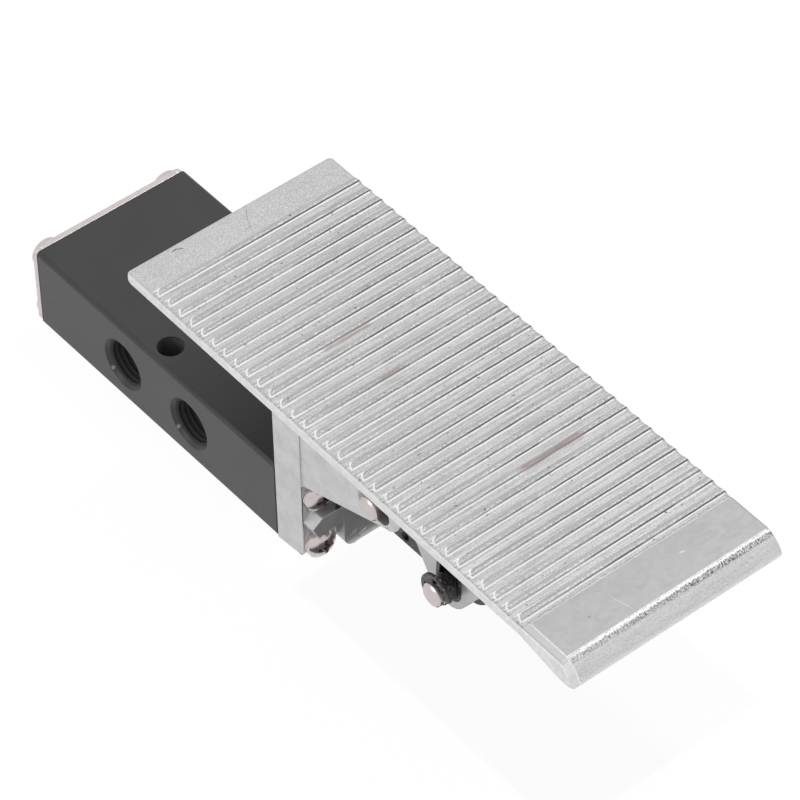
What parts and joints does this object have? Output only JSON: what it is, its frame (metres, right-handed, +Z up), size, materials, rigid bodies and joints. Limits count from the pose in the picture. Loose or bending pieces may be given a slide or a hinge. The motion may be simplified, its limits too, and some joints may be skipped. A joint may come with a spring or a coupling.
{
  "type": "foot pedal air valve",
  "caption": "Foot-operated spool valve: black ported block with a cast bracket that carries a long ribbed treadle.",
  "frame": {"origin": "centre of the valve block's flat underside", "axes": "+X along the valve towards the pedal's toe, +Y away from the side with two ports, +Z up"},
  "size_m": [0.2057, 0.059, 0.0579],
  "materials": {
    "black_anodised": "satin black anodised",
    "plated_steel": "nickel plated",
    "screw_steel": "nickel plated, bright",
    "pin_steel": "ground",
    "cast_aluminium": "as cast, tumbled",
    "pedal_aluminium": "as cast, shot blasted",
    "black_steel": "black oxide",
    "lever_steel": "hardened, dark",
    "spool_aluminium": "turned",
    "spring_steel": "drawn wire",
    "bronze": "sintered",
    "gasket_fibre": "matt",
    "seal_rubber": "matt"
  },
  "bodies": {
    "valve": {"valve_body": "black_anodised", "rear_gasket": "gasket_fibre", "rear_cap": "plated_steel", "rear_cap_screws": "screw_steel", "front_gasket": "gasket_fibre", "front_bracket": "cast_aluminium", "bracket_washers": "screw_steel", "bracket_screws": "screw_steel", "pivot_channel": "black_steel", "channel_screws": "screw_steel", "fulcrum_pin": "pin_steel", "stop_pin": "pin_steel", "stop_pin_clips": "black_steel", "stop_pin_spacers": "black_steel", "rod_guide": "bronze", "rod_seal": "seal_rubber", "return_spring": "spring_steel"},
    "foot": {"pedal": "pedal_aluminium", "pedal_bushes": "bronze", "stop_bumpers": "seal_rubber", "drive_lever": "lever_steel", "lever_screws": "screw_steel"},
    "shuttle": {"spool": "spool_aluminium", "spool_seals": "seal_rubber", "spring_seat": "spool_aluminium", "spool_rod": "pin_steel"}
  },
  "joints": [
    {"name": "pedal_hinge", "type": "hinge", "parent": "valve", "child": "foot", "pos_m": [0.0803, 0, 0.0387], "axis": [0, 1, 0], "range_deg": [0, 8], "stiffness_Nm_per_rad": 1.93, "springref_deg": -10.6},
    {"name": "spool_slide", "type": "slide", "parent": "valve", "child": "shuttle", "axis": [-1, 0, 0], "range_m": [0, 0.00376], "deforming": ["return_spring"]}
  ],
  "couplings": [
    {"joint": "spool_slide", "follows": "pedal_hinge", "m_per_rad": 0.02695}
  ]
}
